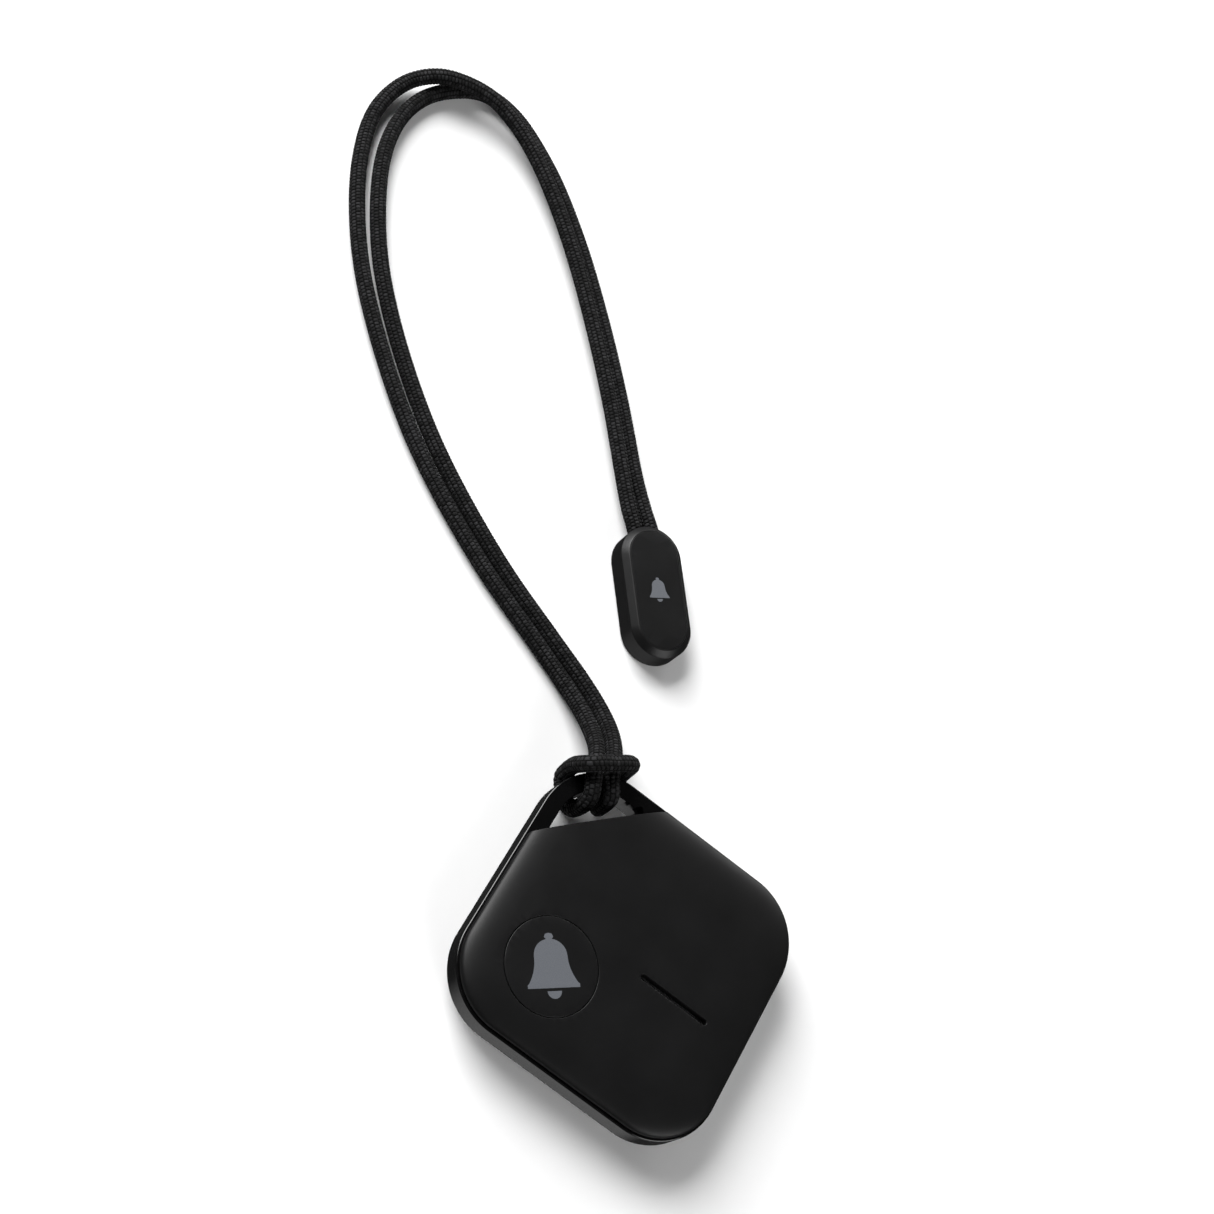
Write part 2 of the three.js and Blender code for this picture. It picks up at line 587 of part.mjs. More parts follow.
function beadShell() {
  const outline = stadium(BEAD_WIDTH, BEAD_LENGTH);
  const chamfered = easedPrism(outline, -2 * BEAD_CHAMFER, BEAD_HEIGHT, BEAD_CHAMFER, BEAD_CHAMFER, 1);
  const footed = easedPrism(outline, 0, BEAD_HEIGHT + 1, BEAD_FOOT_CHAMFER, BEAD_FOOT_CHAMFER, 1);
  const seatBottom = BEAD_HEIGHT - BEAD_FACE_THICKNESS - BEAD_FACE_GAP;
  const lip = 2 * (BEAD_CHAMFER + BEAD_LIP);
  const seat = prism(stadium(BEAD_WIDTH - lip, BEAD_LENGTH - lip), seatBottom, BEAD_HEIGHT + 1);
  const room = 2 * BEAD_WALL;
  const cavity = prism(stadium(BEAD_WIDTH - room, BEAD_LENGTH - room), BEAD_FLOOR, BEAD_HEIGHT);
  let solid = chamfered.intersect(footed).subtract(seat).subtract(cavity);
  const boreRadius = CORD_DIAMETER / 2 + BORE_CLEARANCE;
  for (const side of [-1, 1]) {
    solid = solid.subtract(bore(boreRadius, side * CORD_SPACING / 2, 0, BEAD_LENGTH, BEAD_CORD_HEIGHT));
  }
  return named('bead_shell', toGeometry(solid), beadPlastic);
}

function beadFace() {
  const margin = 2 * (BEAD_CHAMFER + BEAD_LIP + BEAD_FACE_GAP);
  const shape = stadium(BEAD_WIDTH - margin, BEAD_LENGTH - margin);
  const geometry = new THREE.ExtrudeGeometry(shape, {
    depth: BEAD_FACE_THICKNESS,
    bevelEnabled: false,
    curveSegments: ARC_STEPS,
  });
  const mesh = named('bead_face', geometry, beadPlastic);
  mesh.position.z = BEAD_HEIGHT - BEAD_FACE_THICKNESS;
  return mesh;
}

function cordCrimp() {
  const innerHeight = CORD_DIAMETER + 2 * CRIMP_CLEARANCE;
  const innerWidth = innerHeight + CORD_SPACING;
  const outer = stadium(innerHeight + 2 * CRIMP_SHEET, innerWidth + 2 * CRIMP_SHEET);
  const inner = stadium(innerHeight, innerWidth);
  outer.holes.push(new THREE.Path(inner.getPoints(ARC_STEPS).reverse()));
  const geometry = new THREE.ExtrudeGeometry(outer, {
    depth: CRIMP_LENGTH,
    bevelEnabled: false,
    curveSegments: ARC_STEPS,
  });
  const mesh = named('cord_crimp', geometry.rotateZ(Math.PI / 2).rotateX(Math.PI / 2), steel);
  mesh.position.set(0, BEAD_LENGTH / 2 - CRIMP_SETBACK, BEAD_CORD_HEIGHT);
  return mesh;
}

function bead() {
  const group = new THREE.Group();
  group.rotation.z = THREE.MathUtils.degToRad(BEAD_TURN);
  group.position.set(...BEAD_PLACE, 0);
  group.add(beadShell(), beadFace(), cordCrimp());
  return group;
}

const tag = new THREE.Group();
tag.add(midFrame(), frontCover(), backCover(), coverGasket());
tag.add(buttonCap(), buttonSeal(), switchBody(), switchPlunger());
tag.add(soundMesh(), piezoSpacer());
tag.add(disc('piezo_plate', PLATE_DIAMETER, PLATE_THICKNESS, plateBottom, brass));
tag.add(disc('piezo_ceramic', CERAMIC_DIAMETER, CERAMIC_THICKNESS, ceramicBottom, ceramic));
tag.add(piezoContact('piezo_contact_ceramic', CERAMIC_CONTACT, ceramicBottom));
tag.add(piezoContact('piezo_contact_plate', PLATE_CONTACT, plateBottom));
tag.add(circuitBoard(), ...boardParts());
tag.add(coinCell(), cellCradle(), sideContact(), bottomContact());
tag.add(lanyardCord(), bead());

export default tag;
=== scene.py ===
"""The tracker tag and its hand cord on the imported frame: smooth mouldings, woven cord and studio light."""
import json
import math

import bpy
import numpy as np
from mathutils import Matrix, Vector
from mathutils.geometry import delaunay_2d_cdt


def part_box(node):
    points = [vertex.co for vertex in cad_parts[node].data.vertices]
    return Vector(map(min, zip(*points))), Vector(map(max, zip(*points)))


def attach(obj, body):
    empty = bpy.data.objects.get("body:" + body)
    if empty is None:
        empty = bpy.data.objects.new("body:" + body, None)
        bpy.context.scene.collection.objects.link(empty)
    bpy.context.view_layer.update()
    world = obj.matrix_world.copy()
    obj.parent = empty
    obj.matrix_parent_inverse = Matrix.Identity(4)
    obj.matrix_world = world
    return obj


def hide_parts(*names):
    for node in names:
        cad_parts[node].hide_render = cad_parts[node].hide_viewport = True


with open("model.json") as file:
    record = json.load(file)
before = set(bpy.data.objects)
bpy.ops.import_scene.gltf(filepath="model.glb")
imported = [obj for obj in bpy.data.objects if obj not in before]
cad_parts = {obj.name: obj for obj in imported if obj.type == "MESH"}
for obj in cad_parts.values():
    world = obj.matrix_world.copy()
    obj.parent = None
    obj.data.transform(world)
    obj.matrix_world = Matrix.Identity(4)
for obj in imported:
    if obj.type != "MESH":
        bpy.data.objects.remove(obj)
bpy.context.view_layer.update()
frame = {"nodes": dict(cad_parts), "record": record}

MM = 0.001


def placed(name, data):
    """A new object in the scene, holding data."""
    made = bpy.data.objects.new(name, data)
    bpy.context.collection.objects.link(made)
    return made


# ---------------------------------------------------------------- camera

CAMERA_PLACE = Vector((-72.39, -122.67, 265.84)) * MM
CAMERA_AIM = Vector((-25.05, 42.26, 0)) * MM
CAMERA_UP = Vector((-0.6047, 0.7205, 0.3394))
CAMERA_LENS = 68.93


def make_camera():
    data = bpy.data.cameras.new("camera")
    data.lens = CAMERA_LENS
    data.sensor_width = 36
    data.clip_start = 10 * MM
    data.clip_end = 10
    camera = placed("camera", data)
    back = (CAMERA_PLACE - CAMERA_AIM).normalized()
    right = CAMERA_UP.cross(back).normalized()
    turn = Matrix((right, back.cross(right), back)).transposed()
    camera.matrix_world = Matrix.Translation(CAMERA_PLACE) @ turn.to_4x4()
    bpy.context.scene.camera = camera


make_camera()

# ---------------------------------------------------------------- materials


class Value:
    """A socket in a material's node tree. Arithmetic on it adds Math nodes."""

    def __init__(self, finish, socket):
        self.finish = finish
        self.socket = socket

    def math(self, operation, *others):
        return self.finish.node("Math", {"operation": operation}, [self, *others])

    def __add__(self, other):
        return self.math("ADD", other)

    def __sub__(self, other):
        return self.math("SUBTRACT", other)

    def __rsub__(self, other):
        return self.finish.node("Math", {"operation": "SUBTRACT"}, [other, self])

    def __mul__(self, other):
        return self.math("MULTIPLY", other)

    def __truediv__(self, other):
        return self.math("DIVIDE", other)

    def __abs__(self):
        return self.math("ABSOLUTE")

    __radd__ = __add__
    __rmul__ = __mul__

    def sine(self):
        return self.math("SINE")

    def floor(self):
        return self.math("FLOOR")

    def fraction(self):
        return self.math("FRACT")

    def greater(self, other):
        return self.math("MAXIMUM", other)


class Nodes:
    """A node tree, and short ways to add to it."""

    def __init__(self, tree):
        self.tree = tree

    def feed(self, socket, value):
        if isinstance(value, Value):
            self.tree.links.new(value.socket, socket)
        else:
            socket.default_value = value

    def node(self, kind, settings=None, values=(), output=0):
        made = self.tree.nodes.new("ShaderNode" + kind)
        for name, value in (settings or {}).items():
            setattr(made, name, value)
        pairs = values.items() if isinstance(values, dict) else enumerate(values)
        for key, value in pairs:
            self.feed(made.inputs[key], value)
        return Value(self, made.outputs[output])

    def axes(self, vector):
        return [self.node("SeparateXYZ", values=[vector], output=axis) for axis in range(3)]

    def ramp(self, value, low, high):
        """0 below low and 1 above high, with a smooth step between."""
        settings = {"interpolation_type": "SMOOTHSTEP"}
        return self.node("MapRange", settings, {"Value": value, "From Min": low, "From Max": high})


class Finish(Nodes):
    """A material in the making: one principled shader and the nodes that feed it."""

    def __init__(self, name, color, roughness, metallic=0.0, **fixed):
        self.material = bpy.data.materials.new(name)
        self.material.use_nodes = True
        super().__init__(self.material.node_tree)
        self.shader = self.tree.nodes["Principled BSDF"]
        self.put("Base Color", (*color, 1))
        self.put("Roughness", roughness)
        self.put("Metallic", metallic)
        for socket, value in fixed.items():
            self.put(socket.replace("_", " ").title().replace("Ior", "IOR"), value)

    def put(self, socket, value):
        self.feed(self.shader.inputs[socket], value)

    def place(self):
        """The point on the piece, in the row frame."""
        return self.node("TexCoord", output="Object")

    def noise(self, size, detail=2.0, vector=None):
        """Cloudy variation from 0 to 1 whose spots are about size across."""
        values = {"Vector": vector or self.place(), "Scale": 1 / size, "Detail": detail}
        return self.node("TexNoise", values=values)

    def blend(self, factor, first, second):
        """A colour between two colours."""
        return self.node("Mix", {"data_type": "RGBA"}, {0: factor, 6: (*first, 1), 7: (*second, 1)}, output=2)

    def emboss(self, height, depth, strength=1.0):
        """Relief from a height of 0 to 1 that stands depth proud."""
        values = {"Height": height, "Distance": depth, "Strength": strength}
        self.put("Normal", self.node("Bump", values=values))


def moulded(name, color, lighter, roughness, grain, grain_depth, **fixed):
    """Injection-moulded plastic: spark-eroded grain, faint handling marks, roughness that wanders."""
    finish = Finish(name, color, roughness, **fixed)
    grit = finish.noise(grain, 3.0)
    cloud = finish.noise(6 * MM, 4.0)
    finish.put("Base Color", finish.blend(finish.ramp(grit * 0.6 + cloud * 0.4, 0.3, 0.7), color, lighter))
    finish.put("Roughness", cloud * 0.12 + grit * 0.08 + (roughness - 0.1))
    finish.emboss(grit, grain_depth)
    return finish.material


def polished(name, color, roughness):
    """Piano-black plastic: nearly flawless, with fine hairlines that only touch the gloss."""
    finish = Finish(name, color, roughness)
    hairs = finish.noise(0.8 * MM, 8.0)
    cloud = finish.noise(9 * MM)
    lines = finish.ramp(abs(hairs - 0.5), 0.0, 0.02)
    finish.put("Roughness", (1 - lines) * 0.12 + cloud * 0.06 + (roughness - 0.03))
    finish.emboss(finish.noise(4 * MM), 0.004 * MM)
    return finish.material


def printed_ink():
    """Pad-printed grey ink, a little uneven, with a fine screen."""
    finish = Finish("mark_ink", (0.1, 0.108, 0.122), 0.5)
    speck = finish.noise(0.12 * MM, 3.0)
    cover = finish.ramp(speck, 0.35, 0.65)
    finish.put("Base Color", finish.blend(cover, (0.098, 0.105, 0.119), (0.118, 0.126, 0.14)))
    finish.emboss(speck, 0.002 * MM)
    return finish.material


WEAVE_ACROSS = 10  # columns of yarn bundles round the cord
WEAVE_PITCH = 0.52 * MM  # from one bundle to the next in a column
WEAVE_STAGGER = 0.6  # how far each column is shifted past the last, in bundles; it closes after every five


def woven():
    """Dull black polyester braid: short bundles of yarn in staggered columns, with painted shade darkening
    the gaps between them.
    """
    finish = Finish("woven_cord", (0.01, 0.01, 0.0105), 0.8, sheen_weight=0.015, specular_ior_level=0.15)
    around, along, _ = finish.axes(finish.node("UVMap", {"uv_map": "weave"}))
    column = around * WEAVE_ACROSS
    row = along / WEAVE_PITCH + column.floor() * WEAVE_STAGGER
    side = abs(column.fraction() - 0.5) * 2
    end = abs(row.fraction() - 0.5) * 2
    yarn = (1 - side * side * side * side) * (1 - end * end * end * end)
    cell = finish.node("CombineXYZ", values=[column.floor(), row.floor(), 0.0])
    tone = finish.node("TexWhiteNoise", {"noise_dimensions": "2D"}, {"Vector": cell}, output="Value")
    strands = (column + row) * 22 + finish.noise(0.4 * MM) * 5
    fibres = strands.sine() * 0.5 + 0.5
    fuzz = finish.noise(0.08 * MM, 4.0)
    faded = finish.noise(7 * MM, 2.0)
    worn = tone * tone * 1.9 + fibres * 0.3 + fuzz * 0.25
    # The ramp on the yarn height paints shade into the gaps between bundles; tone, fibres, fuzz and the faded
    # cloud are the braid's own uneven colour.
    shade = finish.ramp(yarn, 0.4, 0.95) * worn * (0.4 + faded * 0.6)
    finish.put("Base Color", finish.blend(shade, (0.0002, 0.0002, 0.0002), (0.021, 0.021, 0.0222)))
    finish.put("Roughness", 0.92 - yarn * 0.25)
    finish.emboss(yarn + fibres * yarn * 0.1 + fuzz * 0.12, 0.18 * MM)
    return finish.material


def sheet_metal(name, color, roughness, grain):
    """Rolled and stamped sheet, brushed along X, with a few dull spots."""
    finish = Finish(name, color, roughness, 1.0)
    stretched = finish.node("Mapping", values={"Vector": finish.place(), "Scale": (0.04, 1, 1)})
    brush = finish.noise(grain, 5.0, stretched)
    spots = finish.ramp(finish.noise(1.3 * MM, 3.0), 0.55, 0.75)
    darker = tuple(0.7 * c for c in color)
    finish.put("Base Color", finish.blend(spots * 0.5 + brush * 0.3, color, darker))
    finish.put("Roughness", brush * 0.2 + spots * 0.15 + (roughness - 0.1))
    finish.emboss(brush, 0.003 * MM)
    return finish.material


def rubber():
    """Soft matt rubber with mould bloom."""
    finish = Finish("seal_rubber", (0.018, 0.018, 0.019), 0.8)
    bloom = finish.noise(0.9 * MM, 5.0)
    pale = finish.ramp(bloom, 0.35, 0.7)
    finish.put("Base Color", finish.blend(pale, (0.015, 0.015, 0.016), (0.03, 0.03, 0.031)))
    finish.emboss(finish.noise(0.15 * MM, 3.0), 0.008 * MM)
    return finish.material


def mesh_cloth():
    """Fine acoustic cloth: a square weave of round threads, with its pin holes painted near black as painted
    shade of the hollow behind.
    """
    finish = Finish("mesh_cloth", (0.012, 0.012, 0.013), 0.6)
    across, up, _ = finish.axes(finish.place())
    pitch = 0.3 * MM
    warp = abs((across / pitch).fraction() - 0.5) * 2
    weft = abs((up / pitch).fraction() - 0.5) * 2
    thread = 1 - warp.greater(weft)
    hole = finish.ramp(thread, 0.35, 0.6)
    # Painted shade: the pin holes get a near-black colour for the dark hollow seen through them.
    finish.put("Base Color", finish.blend(hole, (0.03, 0.03, 0.032), (0.001, 0.001, 0.001)))
    finish.put("Roughness", hole * 0.3 + 0.45)
    finish.emboss(1 - thread, 0.05 * MM)
    return finish.material


def board():
    """Green lacquer over copper runs, with pale printed outlines."""
    finish = Finish("board_laminate", (0.01, 0.05, 0.022), 0.35)
    x, y, _ = finish.axes(finish.place())
    bend = finish.noise(7 * MM) * 3
    runs = finish.ramp(((x + y) / (0.9 * MM) + bend).sine(), 0.55, 0.75)
    fill = finish.ramp(finish.noise(5 * MM), 0.5, 0.52)
    copper = (runs * (1 - fill)).greater(fill * 0.7)
    finish.put("Base Color", finish.blend(copper, (0.006, 0.035, 0.016), (0.016, 0.085, 0.035)))
    finish.put("Roughness", 0.42 - copper * 0.12)
    finish.emboss(copper, 0.03 * MM)
    return finish.material


def fired_ceramic():
    """Pale fired ceramic with fine speckle."""
    finish = Finish("white_ceramic", (0.62, 0.57, 0.47), 0.5)
    speck = finish.noise(0.2 * MM, 4.0)
    pale = finish.ramp(speck, 0.3, 0.7)
    finish.put("Base Color", finish.blend(pale, (0.5, 0.45, 0.36), (0.68, 0.63, 0.54)))
    finish.put("Roughness", speck * 0.2 + 0.4)
    finish.emboss(speck, 0.01 * MM)
    return finish.material


def paper_sweep():
    """Pale studio paper, with a glow of its own far out, where the lights don't reach."""
    finish = Finish("studio_paper", (0.92, 0.92, 0.92), 0.9, emission_strength=0.85)
    x, y, _ = finish.axes(finish.place())
    far = finish.ramp(x * x + y * y, 0.5, 2.5)
    finish.put("Emission Color", finish.blend(far, (0, 0, 0), (1, 1, 1)))
    fibre = finish.noise(3 * MM, 6.0)
    finish.put("Base Color", finish.blend(fibre, (0.91, 0.91, 0.91), (0.93, 0.93, 0.93)))
    return finish.material


BLACK = (0.004, 0.004, 0.0041)
FINISHES = {
    "matte_black": moulded("matte_black", BLACK, (0.0052, 0.0052, 0.0054), 0.45, 0.09 * MM, 0.0035 * MM,
                           specular_ior_level=0.22),
    "gloss_black": polished("gloss_black", (0.0022, 0.0022, 0.0023), 0.14),
    "tray_black": moulded("tray_black", (0.005, 0.005, 0.0052), (0.009, 0.009, 0.0093), 0.6,
                          0.16 * MM, 0.012 * MM),
    "bead_black": moulded("bead_black", BLACK, (0.0055, 0.0055, 0.0057), 0.42, 0.1 * MM, 0.004 * MM,
                          specular_ior_level=0.3),
    "seal_rubber": rubber(),
    "chip_plastic": moulded("chip_plastic", (0.012, 0.012, 0.012), (0.02, 0.02, 0.02), 0.5,
                            0.06 * MM, 0.006 * MM),
    "dark_nylon": moulded("dark_nylon", (0.02, 0.02, 0.021), (0.03, 0.03, 0.031), 0.55,
                          0.12 * MM, 0.008 * MM),
    "mesh_cloth": mesh_cloth(),
    "contact_brass": sheet_metal("contact_brass", (0.71, 0.5, 0.2), 0.3, 0.2 * MM),
    "spring_steel": sheet_metal("spring_steel", (0.6, 0.61, 0.63), 0.3, 0.15 * MM),
    "white_ceramic": fired_ceramic(),
    "board_laminate": board(),
    "woven_cord": woven(),
}
INK = printed_ink()

# ---------------------------------------------------------------- the tag's measures, from the frame


def lowest(node):
    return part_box(node)[0]


def highest(node):
    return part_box(node)[1]


HALF = highest("mid_frame").x
CORNER = 9.2 * MM
RIM_TOP = highest("mid_frame").z
FRAME_FOOT = lowest("mid_frame").z
CROWN_TOP = highest("front_cover").z
COVER_INSET = HALF - highest("front_cover").x
COVER_FOOT = lowest("front_cover").z
CUT_REACH = 17.25 * MM  # from the tag's middle to the line that cuts off the eye's corner
COVER_CUT = 0.2 * MM  # how far the cover stands back from that line
CROWN_RISE = 1.4 * MM
CROWN_RUN = 7 * MM  # how far in from the edge the crown is curved
SEAM = 0.15 * MM  # between the frame's rim and the cover's lip
FRAME_WALL = 1.6 * MM
EYE_WALL = 1.4 * MM  # between the cut line and the inside
EYE_BAR = 2.4 * MM  # outside the eye
EYE_TIP = 1.5 * MM  # the rounding of its blunt end
SPIGOT_INSET = 1.8 * MM
SPIGOT_WALL = 0.8 * MM
CEILING = CROWN_TOP - 1 * MM
BUTTON_LOW, BUTTON_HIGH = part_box("button_cap")
BUTTON_CENTRE = Vector(((BUTTON_LOW.x + BUTTON_HIGH.x) / 2, (BUTTON_LOW.y + BUTTON_HIGH.y) / 2))
BUTTON_HOLE = 6.4 * MM
BUTTON_RADIUS = 6.3 * MM
SLOT_LOW, SLOT_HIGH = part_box("sound_mesh")
SLOT_CENTRE = Vector(((SLOT_LOW.x + SLOT_HIGH.x) / 2, (SLOT_LOW.y + SLOT_HIGH.y) / 2))
SLOT_LENGTH = 10.5 * MM
SLOT_WIDTH = 0.8 * MM

# ---------------------------------------------------------------- outlines, counterclockwise lists of points


def arc(centre, radius, start, end, steps):
    angles = [math.radians(start + (end - start) * i / steps) for i in range(steps + 1)]
    return [Vector((centre[0] + radius * math.cos(a), centre[1] + radius * math.sin(a))) for a in angles]


def run(start, end, steps):
    """Evenly spaced points from start up to, but not including, end."""
    return [Vector(start).lerp(Vector(end), i / steps) for i in range(steps)]


ARC = 28  # steps in a rounded corner
SIDE = 18  # steps along a straight side


def rounded_square(inset):
    side, radius = HALF - inset, CORNER - inset
    middle = side - radius
    outline = []
    for turn, (x, y) in enumerate([(-1, -1), (1, -1), (1, 1), (-1, 1)]):
        bend = arc((x * middle, y * middle), radius, 180 + 90 * turn, 270 + 90 * turn, ARC)
        outline += bend[:-1]
        across = Matrix.Rotation(math.radians(90 * turn), 2) @ Vector((middle, -side))
        outline += run(bend[-1], across, SIDE)
    return outline


def cut_square(inset, cut_inset, tip=0.45 * MM):
    """The rounded square with the eye's corner cut off, and the cut's two ends slightly rounded."""
    side, radius = HALF - inset, CORNER - inset
    middle = side - radius
    reach = (CUT_REACH - cut_inset) * math.sqrt(2) - side
    outline = []
    for turn, (x, y) in enumerate([(-1, -1), (1, -1), (1, 1)]):
        bend = arc((x * middle, y * middle), radius, 180 + 90 * turn, 270 + 90 * turn, ARC)
        outline += bend[:-1]
        if turn < 2:
            across = Matrix.Rotation(math.radians(90 * turn), 2) @ Vector((middle, -side))
            outline += run(bend[-1], across, SIDE)
    back = tip * math.tan(math.radians(22.5))
    slant = back / math.sqrt(2)
    outline += run(Vector((middle, side)), Vector((-reach + back, side)), SIDE)
    outline += arc((-reach + back, side - tip), tip, 90, 135, 4)[:-1]
    outline += run(Vector((-reach - slant, side - slant)), Vector((-side + slant, reach + slant)), SIDE)
    outline += arc((-side + tip, reach - back), tip, 135, 180, 4)[:-1]
    outline += run(Vector((-side, reach - back)), Vector((-side, -middle)), SIDE)
    return outline


def eye_outline(inset):
    """The eye's hole, grown by inset: sharp end, slanting inner wall, rounded end and outer bend."""
    wall = HALF - EYE_BAR + inset
    radius = CORNER - EYE_BAR + inset
    middle = wall - radius
    tip = wall - (CUT_REACH - inset) * math.sqrt(2)
    end = EYE_TIP
    start = Vector((-wall, -tip))
    bend = Vector((tip - end, wall - end))
    corner = Vector((tip, wall))
    level = Vector((tip - 1.5 * end, wall))
    outline = run(start, bend, SIDE)
    for i in range(8):
        t = i / 8
        outline.append(bend.lerp(corner, t).lerp(corner.lerp(level, t), t))
    outline += run(level, Vector((-middle, wall)), 6)
    outline += arc((-middle, middle), radius, 90, 180, ARC)[:-1]
    outline += run(Vector((-wall, middle)), start, 6)
    return outline


def circle(centre, radius, steps=96):
    return arc(centre, radius, 0, 360, steps)[:-1]


def stadium(centre, length, width, steps=20):
    """A long rounded outline along X."""
    radius = width / 2
    reach = length / 2 - radius
    right = arc((centre[0] + reach, centre[1]), radius, -90, 90, steps)
    left = arc((centre[0] - reach, centre[1]), radius, 90, 270, steps)
    return right[:-1] + run(right[-1], left[0], SIDE) + left[:-1] + run(left[-1], right[0], SIDE)


# ---------------------------------------------------------------- surfaces


class Skin:
    """A mesh in the making: loops of points, joined by bands and closed by flat or crowned sheets."""

    def __init__(self):
        self.points = []
        self.faces = []

    def loop(self, outline, height):
        """Adds an outline at a height, a number or a function of the point, and returns its indices."""
        start = len(self.points)
        for point in outline:
            z = height(point) if callable(height) else height
            self.points.append((point[0], point[1], z))
        return list(range(start, len(self.points)))

    def band(self, lower, upper):
        """Joins two loops of equal length. The band faces outwards where upper lies above lower."""
        for i in range(len(lower)):
            j = (i + 1) % len(lower)
            self.faces.append((lower[i], lower[j], upper[j], upper[i]))

    def wall(self, loops):
        for lower, upper in zip(loops, loops[1:]):
            self.band(lower, upper)

    def sheet(self, outer, holes, height, spacing, up=True):
        """Fills between loops, with points spacing apart inside, raised to the height function."""
        edges, flat, owners = [], [], []
        for ring in [outer, *holes]:
            start = len(flat)
            flat += [Vector(self.points[i][:2]) for i in ring]
            owners += ring
            edges += [(start + i, start + (i + 1) % len(ring)) for i in range(len(ring))]
        rings = [np.array([self.points[i][:2] for i in ring]) for ring in [outer, *holes]]
        low, high = rings[0].min(0), rings[0].max(0)
        for x in np.arange(low[0] + spacing / 2, high[0], spacing):
            for y in np.arange(low[1] + spacing / 2, high[1], spacing):
                near = min(np.hypot(ring[:, 0] - x, ring[:, 1] - y).min() for ring in rings)
                covered = inside(rings[0], x, y) and not any(inside(ring, x, y) for ring in rings[1:])
                if near > 0.6 * spacing and covered:
                    flat.append(Vector((x, y)))
        made, _, triangles, origins, *_ = delaunay_2d_cdt(flat, edges, [], 1, 1e-9)
        index = []
        for point, origin in zip(made, origins):
            if origin and origin[0] < len(owners):
                index.append(owners[origin[0]])
            else:
                index.append(len(self.points))
                z = height(point) if callable(height) else height
                self.points.append((point[0], point[1], z))
        hollow = [set(ring) for ring in holes]
        for a, b, c in triangles:
            face = (index[a], index[b], index[c])
            if any(ring.issuperset(face) for ring in hollow):
                continue
            left = (made[b] - made[a]).cross(made[c] - made[a]) > 0
            self.faces.append(face if left == up else face[::-1])

    def piece(self, name, body, slot, sharp=32, stands_for=()):
        mesh = bpy.data.meshes.new(name)
        mesh.from_pydata(self.points, [], self.faces)
        mesh.validate()
        mesh.shade_smooth()
        mesh.set_sharp_from_angle(angle=math.radians(sharp))
        made = placed(name, mesh)
        finish(made, body, slot, stands_for)
        return made


def finish(made, body, slot, stands_for=()):
    """Gives a piece the material of its slot and its body, and hides the frame's pieces it stands for."""
    made.data.materials.append(FINISHES.get(slot) or INK)
    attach(made, body)
    slot in FINISHES
    if stands_for:
        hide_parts(*stands_for)


def inside(ring, x, y):
    """True if the point is inside the closed ring, an array of points."""
    nxt = np.roll(ring, -1, axis=0)
    over = (ring[:, 1] > y) != (nxt[:, 1] > y)
    with np.errstate(divide="ignore", invalid="ignore"):
        at = ring[:, 0] + (y - ring[:, 1]) * (nxt[:, 0] - ring[:, 0]) / (nxt[:, 1] - ring[:, 1])
    return bool(np.count_nonzero(over & (x < at)) % 2)


def weighted(made):
    """Flat faces keep their flat shading beside fine rounded edges."""
    modifier = made.modifiers.new("flat_faces", "WEIGHTED_NORMAL")
    modifier.keep_sharp = True
    modifier.weight = 60


# ---------------------------------------------------------------- front cover and button


def edge_distance(point):
    """How far a point lies inside the cover's rounded outline."""
    side, radius = HALF - COVER_INSET, CORNER - COVER_INSET
    middle = side - radius
    x, y = max(abs(point[0]) - middle, 0), max(abs(point[1]) - middle, 0)
    if x > 0 and y > 0:
        return radius - math.hypot(x, y)
    return side - max(abs(point[0]), abs(point[1]))


def crown(point, drop=0.0):
    """The cover's crowned surface, lowered by drop."""
    share = 1 - min(max(edge_distance(point) / CROWN_RUN, 0), 1)
    return CROWN_TOP - CROWN_RISE * (1 - math.sqrt(max(1 - share * share, 0))) - drop


def rounded_edge(radius, steps=4):
    """(inset, drop) pairs down a small round, from its top to its foot."""
    angles = [0.5 * math.pi * i / steps for i in range(steps + 1)]
    return [(radius * (1 - math.sin(a)), radius * (1 - math.cos(a))) for a in angles]


CROWN_STEPS = 16
CROWN_SWEEP = 0.72  # share of the crown's quarter turn that has its own rings
EDGE_EASE = 0.12 * MM  # how far the crown is lowered at its very edge
CUT_DRAFT = 0.16 * MM  # how far the cut leans inwards over those rings
MOUTH_ROUND = 0.09 * MM
COVER_LIP = RIM_TOP + SEAM


def cover_edge(point, drop, low):
    """The cover's surface near its edge, upright below the crown on the lowest ring."""
    foot = CROWN_TOP - CROWN_RISE
    return foot if low and edge_distance(point) < 0.05 * MM else crown(point, drop)


def cover_rings(skin):
    """The rings up the cover's edge and crown, from its lip inwards."""
    rings = [skin.loop(cut_square(COVER_INSET, COVER_CUT), COVER_LIP)]
    for i in range(CROWN_STEPS):
        share = i / CROWN_STEPS
        inset = COVER_INSET + CROWN_RUN * (1 - math.cos(0.5 * math.pi * share * CROWN_SWEEP))
        drop = EDGE_EASE * max(1 - i / 4, 0) ** 2
        ring = cut_square(inset, COVER_CUT + CUT_DRAFT * share)
        rings.append(skin.loop(ring, lambda p, d=drop, low=i == 0: cover_edge(p, d, low)))
    skin.wall(rings)
    return rings


def through_hole(skin, outline_at):
    """A hole with a rounded mouth, from the crown down to the ceiling."""
    rings = [skin.loop(outline_at(inset), lambda p, d=drop: crown(p, d))
             for inset, drop in rounded_edge(MOUTH_ROUND)]
    rings.append(skin.loop(outline_at(0), CEILING))
    skin.wall(rings)
    return rings


